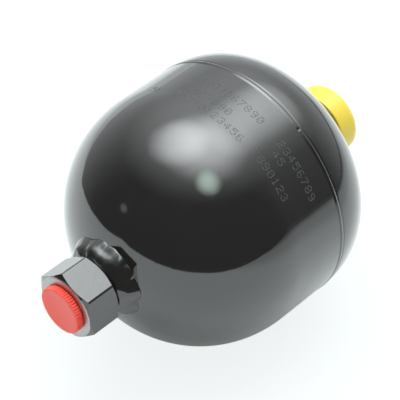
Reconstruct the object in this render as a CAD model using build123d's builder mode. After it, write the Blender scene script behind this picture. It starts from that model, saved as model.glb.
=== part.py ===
from build123d import *
from math import asin, cos, degrees, pi, radians, sin, sqrt, tan
import os

# Welded diaphragm accumulator, 0.75 litre, 210 bar class. All sizes are millimetres.
# The vessel lies on its belly, with its axis along X. The origin is the centre of the
# fluid port's mouth, and +X runs through the vessel towards the gas end.

# Shells: two deep-drawn cups that meet at one girth weld
vessel_r = 60.5  # outside radius
wall = 5.0
band_length = 28.0  # straight stretch, from the fluid head to the girth weld
fluid_knuckle_centre = 2.5  # distance of the knuckle's centre from the axis
fluid_crown_extra = 2.0  # crown radius, over the vessel's own
gas_knuckle_centre = 27.0
gas_crown_extra = 14.5

# Girth weld: a narrow V, slightly proud of the shells
weld_face_width = 2.2
weld_root_width = 1.2
weld_proud = 0.35

# Fluid port: hexagon, neck, threaded bore for M18x1.5 and a small passage
hex_flats = 30.0
hex_length = 16.8
hex_turn = 21.6  # angle of one corner from +Y, as the port was left by the welder
hex_face_r = 14.4  # flat ring inside the chamfered corners
hex_chamfer_angle = 30.0
neck_r = 14.0
neck_length = 5.5  # from the hexagon to the pole of the fluid shell
thread_bore_r = 8.25  # tapping size of M18x1.5
thread_depth = 14.0
thread_mouth_r = 9.3
drill_point_angle = 59.0  # half of a 118 degree drill point
passage_r = 4.0

# Bosses pass through the shells on spigots
port_spigot_r = 12.0
gas_spigot_r = 9.0
spigot_gap = 0.1

# Fillet welds round the two bosses
port_weld_leg = 6.0  # outwards from the neck
port_weld_rise = 4.6  # along the neck
port_weld_bulge = 0.7
port_weld_puddles = 22
port_weld_furrow = 0.5  # depth between puddles
port_weld_furrow_r = 1.3
gas_weld_leg = 4.5
gas_weld_rise = 3.1
gas_weld_bulge = 0.4

# Plastic transport plug, screwed into the port
plug_head_r = 11.0
plug_head_height = 3.3
plug_rib_count = 56
plug_rib_r = 0.35
plug_edge = 0.6
plug_shank_length = 11.0
plug_wall = 1.6
plug_gap = 0.12  # round the shank, and under the head

# Gas connection: M28x1.5 outside, with a countersunk seat for the charging screw
gas_collar_r = 15.0
gas_collar_length = 3.4
gas_thread_r = 14.0
gas_boss_length = 17.4
gas_boss_edge = 1.0
screw_well_r = 9.0
screw_well_depth = 8.5
gas_passage_r = 2.5

# Charging screw, M10, and its sealing ring
screw_head_r = 8.0
screw_head_height = 6.0
screw_socket_flats = 6.0
screw_socket_depth = 4.0
screw_edge = 0.6
screw_shank_r = 5.0
screw_shank_length = 8.0
screw_gap = 0.06
seal_r = 7.2
seal_height = 1.6

# Plastic cap over the gas connection
cap_r = 17.0
cap_length = 11.8
cap_end_wall = 2.2
cap_edge = 3.2
cap_mouth_edge = 1.6
cap_gap = 0.3

# Bladder: a moulded rubber cup, clamped at its bead by the retaining ring
skin_gap = 0.3  # between the bladder and what it lies against
bladder_thickness = 2.0
bead_height = 4.4
bead_width = 8.8
bead_corner_r = 1.1
ring_thickness = 3.6
ring_flange_width = 5.0
ring_past_weld = 2.4
ring_gap = 0.1
crown_pad_r = 13.0
crown_pad_height = 7.0
crown_pad_edge = 1.2

# Closing button, moulded into the crown of the bladder
button_r = 9.0
button_thickness = 2.2
button_edge = 0.8
button_stem_r = 3.2
button_stem_length = 1.7
button_anchor_r = 5.5
button_anchor_thickness = 1.2


def head_depth(knuckle_r, crown_r):
    """Depth of a dished head, from its rim to its pole."""
    return crown_r - sqrt((crown_r - knuckle_r) ** 2 - (vessel_r - knuckle_r) ** 2)


def crown_drop(crown_r, radius):
    """How far a crown has fallen away from its pole at this radius."""
    return crown_r - sqrt(crown_r**2 - radius**2)


# Radii of the heads
inner_r = vessel_r - wall
fluid_knuckle_r = vessel_r - fluid_knuckle_centre
fluid_crown_r = vessel_r + fluid_crown_extra
gas_knuckle_r = vessel_r - gas_knuckle_centre
gas_crown_r = vessel_r + gas_crown_extra

# Stations along the axis
fluid_pole_x = hex_length + neck_length
band_x = fluid_pole_x + head_depth(fluid_knuckle_r, fluid_crown_r)
seam_x = band_x + band_length
gas_rim_x = seam_x + weld_face_width / 2
gas_pole_x = gas_rim_x + head_depth(gas_knuckle_r, gas_crown_r)
port_hole_r = port_spigot_r + spigot_gap
gas_hole_r = gas_spigot_r + spigot_gap
port_shoulder_x = fluid_pole_x + crown_drop(fluid_crown_r, port_hole_r)
port_end_x = fluid_pole_x + wall
gas_shoulder_x = gas_pole_x - crown_drop(gas_crown_r, gas_hole_r)
gas_boss_end_x = gas_shoulder_x + gas_boss_length
gas_spigot_end_x = gas_pole_x - wall - crown_drop(gas_crown_r - wall, gas_spigot_r)
screw_seat_x = gas_boss_end_x - screw_well_depth
screw_head_x = screw_seat_x + seal_height
cap_end_x = gas_boss_end_x + cap_gap + cap_end_wall
bladder_pole_x = port_end_x + skin_gap
ring_end_x = seam_x + ring_past_weld
bead_end_x = ring_end_x - ring_flange_width - ring_gap
bead_start_x = bead_end_x - bead_width


def head_arcs(rim_x, side, knuckle_r, crown_r, inset=0.0):
    """Draws the knuckle and crown of a head, from its rim to the axis, and returns its pole.
    side is -1 for the fluid head and 1 for the gas head; inset is the depth below the skin."""
    half = degrees(asin((vessel_r - knuckle_r) / (crown_r - knuckle_r)))
    knuckle = JernArc((rim_x, vessel_r - inset), (side, 0), knuckle_r - inset, -side * (90 - half))
    crown = JernArc(knuckle @ 1, knuckle % 1, crown_r - inset, -side * half)
    return crown @ 1


# ---------------------------------------------------------------- fluid shell
with BuildPart() as fluid_shell:
    with BuildSketch():
        with BuildLine():
            rim = Line(
                (seam_x - weld_face_width / 2, vessel_r),
                (seam_x - weld_root_width / 2, inner_r),
            )
            Line(rim @ 0, (band_x, vessel_r))
            Line(rim @ 1, (band_x, inner_r))
            outer_pole = head_arcs(band_x, -1, fluid_knuckle_r, fluid_crown_r)
            inner_pole = head_arcs(band_x, -1, fluid_knuckle_r, fluid_crown_r, wall)
            Line(outer_pole, inner_pole)
        make_face()
    revolve(axis=Axis.X)
    with Locations(Plane(origin=(fluid_pole_x, 0, 0), z_dir=(-1, 0, 0))):
        Hole(port_hole_r, depth=2 * wall)

# ------------------------------------------------------------------ gas shell
with BuildPart() as gas_shell:
    with BuildSketch():
        with BuildLine():
            rim = Line(
                (gas_rim_x, vessel_r),
                (seam_x + weld_root_width / 2, inner_r),
            )
            Line(rim @ 1, (gas_rim_x, inner_r))
            outer_pole = head_arcs(gas_rim_x, 1, gas_knuckle_r, gas_crown_r)
            inner_pole = head_arcs(gas_rim_x, 1, gas_knuckle_r, gas_crown_r, wall)
            Line(outer_pole, inner_pole)
        make_face()
    revolve(axis=Axis.X)
    with Locations(Plane(origin=(gas_pole_x, 0, 0), z_dir=(1, 0, 0))):
        Hole(gas_hole_r, depth=2 * wall)

# ----------------------------------------------------------------- girth weld
with BuildPart() as girth_weld:
    with BuildSketch():
        with BuildLine():
            root = Line(
                (seam_x - weld_root_width / 2, inner_r),
                (seam_x + weld_root_width / 2, inner_r),
            )
            face = ThreePointArc(
                (seam_x - weld_face_width / 2, vessel_r),
                (seam_x, vessel_r + weld_proud),
                (seam_x + weld_face_width / 2, vessel_r),
            )
            Line(root @ 0, face @ 0)
            Line(root @ 1, face @ 1)
        make_face()
    revolve(axis=Axis.X)

# ----------------------------------------------------------------- fluid port
with BuildPart() as fluid_port:
    with BuildSketch(Plane.YZ):
        RegularPolygon(hex_flats / 2, 6, major_radius=False, rotation=hex_turn)
    extrude(amount=hex_length)
    # both ends of the hexagon are turned to a 30 degree chamfer
    with BuildSketch():
        corner_r = hex_flats / sqrt(3) + 1
        run_out = (corner_r - hex_face_r) * tan(radians(hex_chamfer_angle))
        with BuildLine():
            Polyline(
                (0, 0),
                (0, hex_face_r),
                (run_out, corner_r),
                (hex_length - run_out, corner_r),
                (hex_length, hex_face_r),
                (hex_length, 0),
                close=True,
            )
        make_face()
    revolve(axis=Axis.X, mode=Mode.INTERSECT)
    with BuildSketch(Plane.YZ.offset(hex_length)):
        Circle(neck_r)
    extrude(amount=port_shoulder_x - hex_length)
    with BuildSketch(Plane.YZ.offset(port_shoulder_x)):
        Circle(port_spigot_r)
    extrude(amount=port_end_x - port_shoulder_x)
    # tapped bore with its countersunk mouth and drill point, then the passage
    with BuildSketch():
        with BuildLine():
            drill_point = (thread_bore_r - passage_r) / tan(radians(drill_point_angle))
            Polyline(
                (0, 0),
                (0, thread_mouth_r),
                (thread_mouth_r - thread_bore_r, thread_bore_r),
                (thread_depth, thread_bore_r),
                (thread_depth + drill_point, passage_r),
                (port_end_x, passage_r),
                (port_end_x, 0),
                close=True,
            )
        make_face()
    revolve(axis=Axis.X, mode=Mode.SUBTRACT)

# ------------------------------------------------------------------ port weld
with BuildPart() as port_weld:
    toe_r = neck_r + port_weld_leg
    neck_toe = Vector(port_shoulder_x - port_weld_rise, neck_r)
    shell_toe = Vector(fluid_pole_x + crown_drop(fluid_crown_r, toe_r), toe_r)
    along = (shell_toe - neck_toe).normalized()
    outwards = Vector(-along.Y, along.X)
    crest = (neck_toe + shell_toe) / 2 + outwards * port_weld_bulge
    middle_r = (port_hole_r + toe_r) / 2
    with BuildSketch():
        with BuildLine():
            Polyline((port_shoulder_x, port_hole_r), (port_shoulder_x, neck_r), neck_toe)
            ThreePointArc(neck_toe, crest, shell_toe)
            ThreePointArc(
                shell_toe,
                (fluid_pole_x + crown_drop(fluid_crown_r, middle_r), middle_r),
                (port_shoulder_x, port_hole_r),
            )
        make_face()
    revolve(axis=Axis.X)
    # the bead was laid puddle by puddle, with an uneven furrow between each two
    for i in range(port_weld_puddles):
        turn = 2 * pi / port_weld_puddles * (i + 0.25 * sin(5.1 * i))
        depth = port_weld_furrow * (0.75 + 0.25 * sin(2.4 * i))
        centre = crest + outwards * (port_weld_furrow_r - depth)
        across = Plane(
            origin=(centre.X, centre.Y * cos(turn), centre.Y * sin(turn)),
            z_dir=(along.X, along.Y * cos(turn), along.Y * sin(turn)),
        )
        with Locations(across):
            Cylinder(port_weld_furrow_r, 2 * port_weld_leg, mode=Mode.SUBTRACT)

# ------------------------------------------------------------------ port plug
with BuildPart() as port_plug:
    head_x = -plug_gap
    shank_r = thread_bore_r - plug_gap
    with BuildSketch(Plane.YZ.offset(head_x - plug_head_height)):
        Circle(plug_head_r + plug_rib_r)
    extrude(amount=plug_edge + plug_rib_r)
    fillet(port_plug.faces().sort_by(Axis.X)[0].edges(), plug_edge)
    with BuildSketch(Plane.YZ.offset(head_x)):
        Circle(plug_head_r)
        with PolarLocations(plug_head_r, plug_rib_count):
            Circle(plug_rib_r)
    extrude(amount=-(plug_head_height - plug_edge))
    with BuildSketch(Plane.YZ.offset(head_x)):
        Circle(shank_r)
    extrude(amount=plug_shank_length)
    chamfer(port_plug.faces().sort_by(Axis.X)[-1].edges(), plug_wall / 2)
    with Locations(Plane(origin=(head_x + plug_shank_length, 0, 0), z_dir=(1, 0, 0))):
        Hole(shank_r - plug_wall, depth=plug_shank_length - plug_wall)

# ------------------------------------------------------------------- gas boss
with BuildPart() as gas_boss:
    with BuildSketch(Plane.YZ.offset(gas_spigot_end_x)):
        Circle(gas_spigot_r)
    extrude(amount=gas_shoulder_x - gas_spigot_end_x)
    with BuildSketch(Plane.YZ.offset(gas_shoulder_x)):
        Circle(gas_collar_r)
    extrude(amount=gas_collar_length)
    with BuildSketch(Plane.YZ.offset(gas_shoulder_x + gas_collar_length)):
        Circle(gas_thread_r)
    extrude(amount=gas_boss_length - gas_collar_length)
    chamfer(gas_boss.faces().sort_by(Axis.X)[-1].edges(), gas_boss_edge)
    with Locations(Plane(origin=(gas_boss_end_x, 0, 0), z_dir=(1, 0, 0))):
        CounterBoreHole(
            screw_shank_r + screw_gap,
            counter_bore_radius=screw_well_r,
            counter_bore_depth=screw_well_depth,
            depth=screw_well_depth + screw_shank_length,
        )
        Hole(gas_passage_r, depth=2 * gas_boss_length)

# -------------------------------------------------------------- gas boss weld
with BuildPart() as gas_boss_weld:
    with BuildSketch():
        with BuildLine():
            toe_r = gas_collar_r + gas_weld_leg
            collar_toe = Vector(gas_shoulder_x + gas_weld_rise, gas_collar_r)
            shell_toe = Vector(gas_pole_x - crown_drop(gas_crown_r, toe_r), toe_r)
            along = (collar_toe - shell_toe).normalized()
            crest = (collar_toe + shell_toe) / 2 + Vector(-along.Y, along.X) * -gas_weld_bulge
            middle_r = (gas_hole_r + toe_r) / 2
            Polyline((gas_shoulder_x, gas_hole_r), (gas_shoulder_x, gas_collar_r), collar_toe)
            ThreePointArc(collar_toe, crest, shell_toe)
            ThreePointArc(
                shell_toe,
                (gas_pole_x - crown_drop(gas_crown_r, middle_r), middle_r),
                (gas_shoulder_x, gas_hole_r),
            )
        make_face()
    revolve(axis=Axis.X)

# ------------------------------------------------- charging screw and its seal
with BuildPart() as charging_screw:
    with BuildSketch(Plane.YZ.offset(screw_head_x)):
        Circle(screw_head_r)
    extrude(amount=screw_head_height)
    chamfer(charging_screw.faces().sort_by(Axis.X)[-1].edges(), screw_edge)
    with BuildSketch(Plane.YZ.offset(screw_head_x)):
        Circle(screw_shank_r)
    extrude(amount=-screw_shank_length)
    chamfer(charging_screw.faces().sort_by(Axis.X)[0].edges(), screw_edge)
    with BuildSketch(Plane.YZ.offset(screw_head_x + screw_head_height)):
        RegularPolygon(screw_socket_flats / 2, 6, major_radius=False)
    extrude(amount=-screw_socket_depth, mode=Mode.SUBTRACT)

with BuildPart() as charging_screw_seal:
    with BuildSketch(Plane.YZ.offset(screw_seat_x)):
        Circle(seal_r)
        Circle(screw_shank_r + screw_gap, mode=Mode.SUBTRACT)
    extrude(amount=seal_height)

# ------------------------------------------------------------------ valve cap
with BuildPart() as valve_cap:
    with BuildSketch(Plane.YZ.offset(cap_end_x)):
        Circle(cap_r)
    extrude(amount=-cap_length)
    fillet(valve_cap.faces().sort_by(Axis.X)[-1].edges(), cap_edge)
    with Locations(Plane(origin=(cap_end_x - cap_length, 0, 0), z_dir=(-1, 0, 0))):
        Hole(gas_thread_r + cap_gap, depth=cap_length - cap_end_wall)
    mouth = valve_cap.faces().sort_by(Axis.X)[0].edges().sort_by(SortBy.RADIUS)[0]
    chamfer(mouth, cap_mouth_edge)

# -------------------------------------------------------------- closing button
with BuildPart() as closing_button:
    with BuildSketch(Plane.YZ.offset(bladder_pole_x)):
        Circle(button_r)
    extrude(amount=button_thickness)
    fillet(closing_button.faces().sort_by(Axis.X)[0].edges(), button_edge)
    with BuildSketch(Plane.YZ.offset(bladder_pole_x + button_thickness)):
        Circle(button_stem_r)
    extrude(amount=button_stem_length)
    with BuildSketch(Plane.YZ.offset(bladder_pole_x + button_thickness + button_stem_length)):
        Circle(button_anchor_r)
    extrude(amount=button_anchor_thickness)

# -------------------------------------------------------------------- bladder
with BuildPart() as bladder:
    outside = wall + skin_gap
    inside = outside + bladder_thickness
    bead_x = (bead_start_x + bead_end_x) / 2
    with BuildSketch():
        with BuildLine():
            clamped = Line((bead_x, vessel_r - outside), (bead_x, vessel_r - inside))
            Line(clamped @ 0, (band_x, vessel_r - outside))
            Line(clamped @ 1, (band_x, vessel_r - inside))
            outer_pole = head_arcs(band_x, -1, fluid_knuckle_r, fluid_crown_r, outside)
            inner_pole = head_arcs(band_x, -1, fluid_knuckle_r, fluid_crown_r, inside)
            Line(outer_pole, inner_pole)
        make_face()
        with Locations((bead_x, inner_r - ring_gap - bead_height / 2)):
            RectangleRounded(bead_width, bead_height, bead_corner_r)
    revolve(axis=Axis.X)
    # the crown is thicker where the button is moulded in
    pad_drop = crown_drop(fluid_crown_r - outside, crown_pad_r)
    with BuildSketch(Plane.YZ.offset(bladder_pole_x + pad_drop)):
        Circle(crown_pad_r)
    extrude(amount=crown_pad_height - pad_drop)
    chamfer(bladder.faces().filter_by(Plane.YZ).sort_by(Axis.X)[0].edges(), crown_pad_edge)
    for radius, start, length in (
        (button_r, 0, button_thickness),
        (button_stem_r, button_thickness, button_stem_length),
        (button_anchor_r, button_thickness + button_stem_length, button_anchor_thickness),
    ):
        with BuildSketch(Plane.YZ.offset(bladder_pole_x + start - skin_gap)):
            Circle(radius + skin_gap)
        extrude(amount=length + 2 * skin_gap, mode=Mode.SUBTRACT)

# -------------------------------------------------------------- retaining ring
with BuildPart() as retaining_ring:
    lip_r = inner_r - 2 * ring_gap - bead_height
    with BuildSketch():
        with BuildLine():
            Polyline(
                (bead_start_x, lip_r - ring_thickness),
                (ring_end_x, lip_r - ring_thickness),
                (ring_end_x, inner_r - ring_gap),
                (bead_end_x + ring_gap, inner_r - ring_gap),
                (bead_end_x + ring_gap, lip_r),
                (bead_start_x, lip_r),
                close=True,
            )
        make_face()
    revolve(axis=Axis.X)

# --------------------------------------------------------------------- output
pieces = {
    "fluid_shell": fluid_shell,
    "gas_shell": gas_shell,
    "girth_weld": girth_weld,
    "fluid_port": fluid_port,
    "port_weld": port_weld,
    "port_plug": port_plug,
    "gas_boss": gas_boss,
    "gas_boss_weld": gas_boss_weld,
    "charging_screw": charging_screw,
    "charging_screw_seal": charging_screw_seal,
    "valve_cap": valve_cap,
    "closing_button": closing_button,
    "bladder": bladder,
    "retaining_ring": retaining_ring,
}
os.makedirs("parts", exist_ok=True)
for name, piece in pieces.items():
    piece.part.label = name
    export_step(piece.part, f"parts/{name}.step")
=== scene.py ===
from math import asin, atan2, cos, degrees, pi, radians, sin, sqrt, tan

import bpy
import numpy as np
from mathutils import Matrix, Vector, noise


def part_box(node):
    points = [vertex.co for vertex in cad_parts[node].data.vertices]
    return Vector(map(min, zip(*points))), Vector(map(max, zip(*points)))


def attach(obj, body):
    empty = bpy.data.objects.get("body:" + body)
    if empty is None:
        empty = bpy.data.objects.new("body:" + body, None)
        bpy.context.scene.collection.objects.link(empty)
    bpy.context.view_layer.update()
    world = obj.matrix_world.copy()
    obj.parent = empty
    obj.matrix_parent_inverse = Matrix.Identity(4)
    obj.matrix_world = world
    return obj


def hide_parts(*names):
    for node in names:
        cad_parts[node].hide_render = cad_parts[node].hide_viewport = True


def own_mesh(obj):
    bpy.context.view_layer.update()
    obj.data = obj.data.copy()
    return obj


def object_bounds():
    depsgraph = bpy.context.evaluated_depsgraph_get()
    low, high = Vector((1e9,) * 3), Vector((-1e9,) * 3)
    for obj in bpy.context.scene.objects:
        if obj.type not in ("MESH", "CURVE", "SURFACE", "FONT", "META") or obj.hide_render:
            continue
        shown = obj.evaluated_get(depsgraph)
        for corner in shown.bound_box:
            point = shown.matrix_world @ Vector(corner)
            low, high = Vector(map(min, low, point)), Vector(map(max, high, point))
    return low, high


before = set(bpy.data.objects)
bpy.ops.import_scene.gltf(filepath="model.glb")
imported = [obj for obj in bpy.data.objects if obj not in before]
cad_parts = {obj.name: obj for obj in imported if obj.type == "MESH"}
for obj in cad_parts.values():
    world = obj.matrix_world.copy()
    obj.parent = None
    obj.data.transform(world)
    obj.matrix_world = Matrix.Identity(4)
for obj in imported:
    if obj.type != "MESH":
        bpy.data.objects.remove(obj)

# A small welded accumulator lies on its belly on a white table. Its axis is X: the fluid port with
# its red plug is at the low end, the gas connection under its yellow cap at the high end.
# Sizes in this file are millimetres until a mesh is made, and every place comes from the CAD boxes.

mm = 0.001
cad_low, cad_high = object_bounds()


def corners(node):
    """The CAD box of a node, in millimetres."""
    low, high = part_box(node)
    return low / mm, high / mm


# ------------------------------------------------------------ sizes of the real thing
shell_low, shell_high = corners("fluid_shell")
gas_high = corners("gas_shell")[1]
seam_low, seam_high = corners("girth_weld")
port_low, port_high = corners("fluid_port")
plug_low, plug_high = corners("port_plug")
boss_low, boss_high = corners("gas_boss")
cap_low, cap_high = corners("valve_cap")

vessel_r = shell_high.z
wall = 5.0
fluid_knuckle_r, fluid_crown_r = 58.0, 62.5
gas_knuckle_r, gas_crown_r = 33.5, 75.0
seam_x = (seam_low.x + seam_high.x) / 2
seam_half = (seam_high.x - seam_low.x) / 2
seam_proud = seam_high.z - vessel_r

hex_flats, hex_length, hex_turn = 30.0, 16.8, 21.6
hex_face_r = 14.4
neck_r = 14.0
port_hole_r, gas_hole_r = 12.1, 9.1
passage_r = 4.0
thread_bore_r, thread_root_r, thread_depth = 8.25, 8.95, 14.0
thread_pitch = 1.5

body_steps = 256  # steps round the vessel
crease = radians(32)  # turned pieces are smooth where their faces meet at less than this
enamel_ior = 1.6  # the upper end for a stoving enamel


def drop(crown_r, radius):
    """How far a crown has fallen away from its pole at this radius."""
    return crown_r - sqrt(crown_r**2 - radius**2)


fluid_pole_x = shell_low.x - drop(fluid_crown_r, port_hole_r)
gas_pole_x = gas_high.x + drop(gas_crown_r, gas_hole_r)

# where the straight band ends and the fluid head's knuckle starts
band_x = fluid_pole_x + fluid_crown_r - sqrt(
    (fluid_crown_r - fluid_knuckle_r) ** 2 - (vessel_r - fluid_knuckle_r) ** 2
)


# ------------------------------------------------------------ working helpers
def linear(colour):
    """Turns an sRGB hex colour into the linear values that a shader takes."""
    channels = [int(colour[i : i + 2], 16) / 255 for i in (1, 3, 5)]
    return [c / 12.92 if c <= 0.04045 else ((c + 0.055) / 1.055) ** 2.4 for c in channels] + [1.0]


def add(tree, kind, inputs=None, **settings):
    """Adds a node. An input's value is a number, a colour, or the output socket that feeds it."""
    node = tree.nodes.new(kind)
    for name, value in settings.items():
        setattr(node, name, value)
    for name, value in (inputs or {}).items():
        if isinstance(value, bpy.types.NodeSocket):
            tree.links.new(value, node.inputs[name])
        else:
            node.inputs[name].default_value = value
    return node


def clear_selection():
    """Leaves edit mode and deselects everything."""
    if bpy.context.mode != "OBJECT":
        bpy.ops.object.mode_set(mode="OBJECT")
    bpy.ops.object.select_all(action="DESELECT")


def pick(piece):
    """Makes a piece the only selected one, and the active one."""
    clear_selection()
    piece.select_set(True)
    bpy.context.view_layer.objects.active = piece


def arc(centre_x, centre_r, radius, start, end, count):
    """Points of an arc of a section. Angles are degrees from +X towards the outside."""
    return [
        (
            centre_x + radius * cos(radians(start + (end - start) * i / count)),
            centre_r + radius * sin(radians(start + (end - start) * i / count)),
        )
        for i in range(count + 1)
    ]


def run(start, end, count):
    """Evenly spaced points between two points of a section, without the first."""
    return [
        (start[0] + (end[0] - start[0]) * i / count, start[1] + (end[1] - start[1]) * i / count)
        for i in range(1, count + 1)
    ]


def turned(name, section, steps=128):
    """Turns a closed section, drawn as (x, radius) points, round the vessel's axis."""
    clear_selection()
    bpy.ops.mesh.primitive_circle_add(vertices=len(section), radius=mm, fill_type="NOTHING")
    piece = bpy.context.active_object
    piece.name = name
    for vertex, (x, radius) in zip(piece.data.vertices, section):
        vertex.co = (x * mm, 0, radius * mm)
    bpy.ops.object.mode_set(mode="EDIT")
    bpy.ops.mesh.select_all(action="SELECT")
    bpy.ops.mesh.spin(steps=steps, angle=2 * pi, center=(0, 0, 0), axis=(1, 0, 0))
    bpy.ops.mesh.select_all(action="SELECT")
    bpy.ops.mesh.remove_doubles(threshold=0.002 * mm)
    bpy.ops.mesh.delete_loose()
    bpy.ops.mesh.select_all(action="SELECT")
    bpy.ops.mesh.normals_make_consistent(inside=False)
    bpy.ops.object.mode_set(mode="OBJECT")
    bpy.ops.object.shade_smooth_by_angle(angle=crease)
    return piece


def reshape(piece, move):
    """Moves every vertex of a piece. move takes x, radius and angle from +Z towards -Y, as arrays
    in millimetres and radians, and gives back new ones."""
    count = len(piece.data.vertices)
    places = np.empty(count * 3)
    piece.data.vertices.foreach_get("co", places)
    places = places.reshape(-1, 3) / mm
    radius = np.hypot(places[:, 1], places[:, 2])
    angle = np.arctan2(-places[:, 1], places[:, 2])
    x, radius, angle = move(places[:, 0], radius, angle)
    places = np.stack([x, -radius * np.sin(angle), radius * np.cos(angle)], axis=1) * mm
    piece.data.vertices.foreach_set("co", places.ravel())
    piece.data.update()


def screw_thread(x, angle, pitch, start, end, depth):
    """Depth of a 60 degree thread at each place, running out over one turn at both ends."""
    phase = (x / pitch - angle / (2 * pi)) % 1.0
    ridge = np.clip((np.abs(phase - 0.5) * 2 - 0.12) / 0.76, 0, 1)
    fade = np.clip((x - start) / pitch, 0, 1) * np.clip((end - x) / pitch, 0, 1)
    return depth * ridge * fade


def cut(piece, tool, operation="DIFFERENCE"):
    """Cuts a piece with a tool body and throws the tool away."""
    pick(piece)
    modifier = piece.modifiers.new(operation.title(), "BOOLEAN")
    modifier.operation = operation
    modifier.solver = "EXACT"
    modifier.object = tool
    bpy.ops.object.modifier_apply(modifier=modifier.name)
    bpy.data.objects.remove(tool)


def soften_edges(piece, width, segments=3, sharper_than=25):
    """Breaks the sharp edges of a piece and keeps its flats flat."""
    pick(piece)
    bevel = piece.modifiers.new("Broken edges", "BEVEL")
    bevel.width = width * mm
    bevel.segments = segments
    bevel.limit_method = "ANGLE"
    bevel.angle_limit = radians(sharper_than)
    bevel.miter_outer = "MITER_ARC"
    bpy.ops.object.modifier_apply(modifier=bevel.name)
    bpy.ops.object.shade_smooth_by_angle(angle=radians(40))
    flats = piece.modifiers.new("Flat flats", "WEIGHTED_NORMAL")
    flats.keep_sharp = True
    flats.weight = 100
    bpy.ops.object.modifier_apply(modifier=flats.name)


def lumps(points, size, seed=0.0):
    """Smooth random values, about -1 to 1, at points in millimetres, with lumps of this size."""
    return np.array([noise.noise(Vector(p) / size + Vector((seed, seed, seed))) for p in points])


def rim_places(radius, angle):
    """Points round a circle about the axis, in millimetres, at which to read lumps."""
    return np.stack([radius * np.cos(angle), radius * np.sin(angle), 0 * angle], axis=1)


def finish_piece(piece, material, body, slot, *nodes):
    """Gives a finished piece its material and its body, and hides the CAD nodes it stands for. Its
    slot is not used.
    """
    piece.data.materials.clear()
    piece.data.materials.append(material)
    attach(piece, body)
    if nodes:
        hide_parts(*nodes)
    return piece


# ------------------------------------------------------------ materials
# The scale of a noise texture is how many lumps it has to the metre.


def new_material(name):
    """A material with a shader and its output, and the place on the piece that patterns read."""
    material = bpy.data.materials.new(name)
    material.use_nodes = True
    tree = material.node_tree
    tree.nodes.clear()
    shader = add(tree, "ShaderNodeBsdfPrincipled")
    add(tree, "ShaderNodeOutputMaterial", {"Surface": shader.outputs["BSDF"]})
    place = add(tree, "ShaderNodeTexCoord").outputs["Object"]
    return material, tree, shader, place


def stove_enamel_black():
    """Black stoving enamel, sprayed over welded steel: a deep gloss, with a slow waviness from the
    drawn shell under it and the faint peel of a sprayed coat."""
    material, tree, shader, place = new_material("black stoving enamel")
    # the drawn steel waves over 18 mm, the enamel peels over 2.5 mm and holds dust in 6 mm patches
    waves = add(tree, "ShaderNodeTexNoise", {"Vector": place, "Scale": 55.0, "Detail": 1.0})
    peel = add(tree, "ShaderNodeTexNoise", {"Vector": place, "Scale": 400.0, "Detail": 2.0})
    dust = add(tree, "ShaderNodeTexNoise", {"Vector": place, "Scale": 160.0, "Detail": 4.0})
    waved = add(
        tree,
        "ShaderNodeBump",
        {"Height": waves.outputs["Fac"], "Strength": 0.35, "Distance": 0.0005},
    )
    peeled = add(
        tree,
        "ShaderNodeBump",
        {
            "Height": peel.outputs["Fac"],
            "Strength": 0.2,
            "Distance": 0.00005,
            "Normal": waved.outputs["Normal"],
        },
    )
    tint = add(
        tree,
        "ShaderNodeMix",
        {"Factor": dust.outputs["Fac"], "A": linear("#1b1a18"), "B": linear("#222120")},
        data_type="RGBA",
    )
    gloss = add(
        tree,
        "ShaderNodeMapRange",
        {"Value": dust.outputs["Fac"], "To Min": 0.05, "To Max": 0.11},
    )
    tree.links.new(tint.outputs["Result"], shader.inputs["Base Color"])
    tree.links.new(gloss.outputs["Result"], shader.inputs["Roughness"])
    tree.links.new(peeled.outputs["Normal"], shader.inputs["Normal"])
    tree.links.new(peeled.outputs["Normal"], shader.inputs["Coat Normal"])
    shader.inputs["IOR"].default_value = enamel_ior
    shader.inputs["Coat Weight"].default_value = 1.0
    shader.inputs["Coat IOR"].default_value = enamel_ior
    shader.inputs["Coat Roughness"].default_value = 0.03
    return material


def grey_mark_enamel():
    """The enamel on the crests of the peened marks: duller and a little grey."""
    material, tree, shader, place = new_material("greyed black enamel on the marks")
    # greyer and duller in patches a little under 1 mm wide
    grey_patches = add(tree, "ShaderNodeTexNoise", {"Vector": place, "Scale": 1100.0, "Detail": 3.0})
    tint = add(
        tree,
        "ShaderNodeMix",
        {"Factor": grey_patches.outputs["Fac"], "A": linear("#2e2e2d"), "B": linear("#5c5c5a")},
        data_type="RGBA",
    )
    rough = add(
        tree,
        "ShaderNodeMapRange",
        {"Value": grey_patches.outputs["Fac"], "To Min": 0.2, "To Max": 0.42},
    )
    tree.links.new(tint.outputs["Result"], shader.inputs["Base Color"])
    tree.links.new(rough.outputs["Result"], shader.inputs["Roughness"])
    shader.inputs["IOR"].default_value = enamel_ior
    shader.inputs["Coat Weight"].default_value = 0.5
    shader.inputs["Coat IOR"].default_value = enamel_ior
    shader.inputs["Coat Roughness"].default_value = 0.15
    return material


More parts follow.
